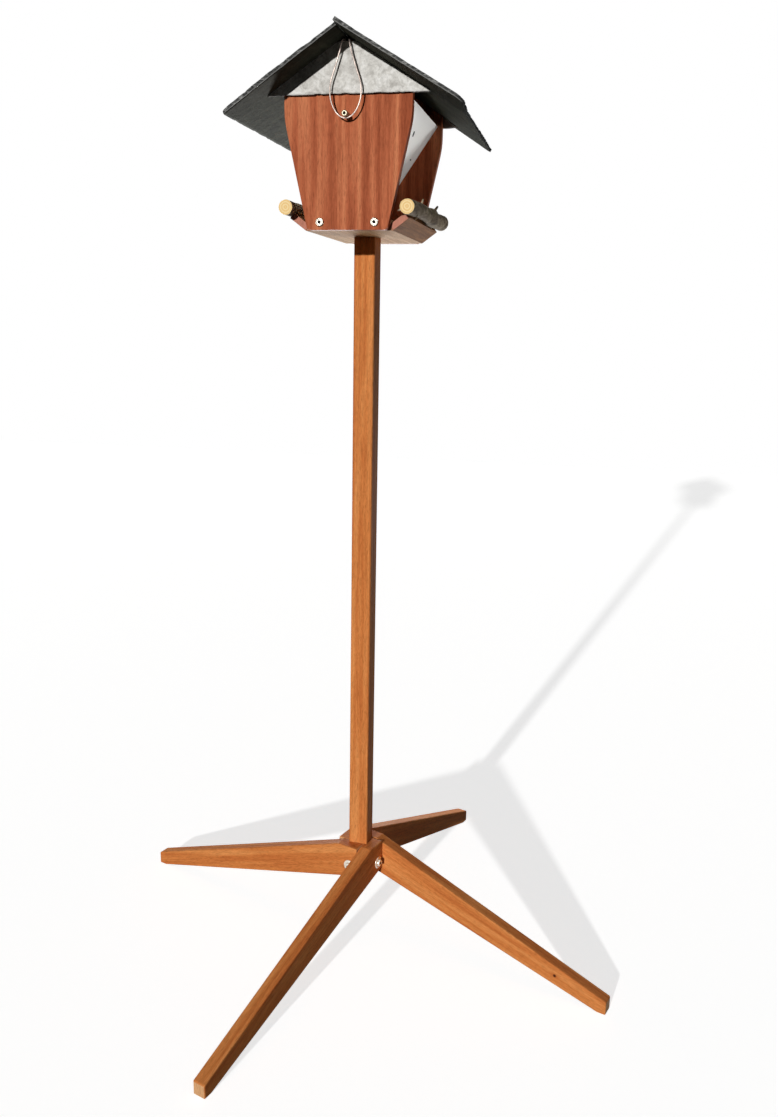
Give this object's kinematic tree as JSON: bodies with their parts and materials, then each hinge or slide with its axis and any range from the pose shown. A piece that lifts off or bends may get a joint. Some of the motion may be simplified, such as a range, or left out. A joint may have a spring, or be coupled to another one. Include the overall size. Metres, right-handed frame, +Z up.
{
  "type": "bird table",
  "caption": "Hopper bird feeder under a lift-off slate roof, with branch perches, on a square pole with crossed tapered legs.",
  "frame": {"origin": "on the ground, on the pole's axis, in the middle of the four feet", "axes": "+Z up along the pole, -Y out of the front gable with the wire loop, +X to the right as seen from the front"},
  "size_m": [0.8576, 0.8576, 1.4036],
  "materials": {
    "stand_wood": "oiled hardwood, orange-brown, satin, fine straight grain",
    "board_wood": "oiled hardwood, reddish brown, satin, upright grain",
    "floor_wood": "bare planed hardwood, pale beige",
    "panel_wood": "weathered planed hardwood, grey-brown",
    "bark": "rough bark with pale sawn ends",
    "dowel_wood": "bare beech dowel",
    "clear_pane": "clear acrylic, polished",
    "roof_slate": "riven natural slate, near black, rough split edges",
    "gable_slate": "riven natural slate, grey, rough lower edge",
    "stainless": "stainless steel, bright",
    "wire": "twisted steel wire, dull bright"
  },
  "bodies": {
    "root": {"leg_right": "stand_wood", "leg_back": "stand_wood", "leg_left": "stand_wood", "leg_front": "stand_wood", "leg_washer_right": "stainless", "leg_washer_back": "stainless", "leg_washer_left": "stainless", "leg_washer_front": "stainless", "leg_screw_right": "stainless", "leg_screw_back": "stainless", "leg_screw_left": "stainless", "leg_screw_front": "stainless", "hub_block": "stand_wood", "pole_screw_bottom": "stainless", "pole_washer_bottom": "stainless", "pole": "stand_wood", "floor_board": "floor_wood", "front_board": "board_wood", "back_board": "board_wood", "trough_panel_right": "panel_wood", "trough_panel_left": "panel_wood", "perch_right": "bark", "perch_left": "bark", "hopper_pane_right": "clear_pane", "hopper_pane_left": "clear_pane", "tie_bar": "panel_wood", "gable_slate_front": "gable_slate", "gable_slate_back": "gable_slate", "tie_screw_front": "stainless", "tie_screw_back": "stainless", "foot_screw_front_left": "stainless", "foot_screw_front_right": "stainless", "foot_screw_back_left": "stainless", "foot_screw_back_right": "stainless", "foot_ring_front_left": "stainless", "foot_ring_front_right": "stainless", "foot_ring_back_left": "stainless", "foot_ring_back_right": "stainless", "perch_dowel_right_front": "dowel_wood", "perch_dowel_right_back": "dowel_wood", "perch_dowel_left_front": "dowel_wood", "perch_dowel_left_back": "dowel_wood", "pole_screw_top": "stainless", "pole_washer_top": "stainless", "wire_stud": "stainless"},
    "roof": {"roof_slate_left": "roof_slate", "roof_slate_right": "roof_slate", "rafter_front": "panel_wood", "rafter_back": "panel_wood", "roof_screw_front_left": "stainless", "roof_screw_front_right": "stainless", "roof_screw_back_left": "stainless", "roof_screw_back_right": "stainless", "roof_washer_front_left": "stainless", "roof_washer_front_right": "stainless", "roof_washer_back_left": "stainless", "roof_washer_back_right": "stainless", "wire_ferrule": "stainless", "wire_loop": "wire"}
  },
  "joints": [
    {"name": "roof_lift", "type": "slide", "parent": "root", "child": "roof", "axis": [0, 0, 1], "range_m": [0, 0.12]}
  ]
}
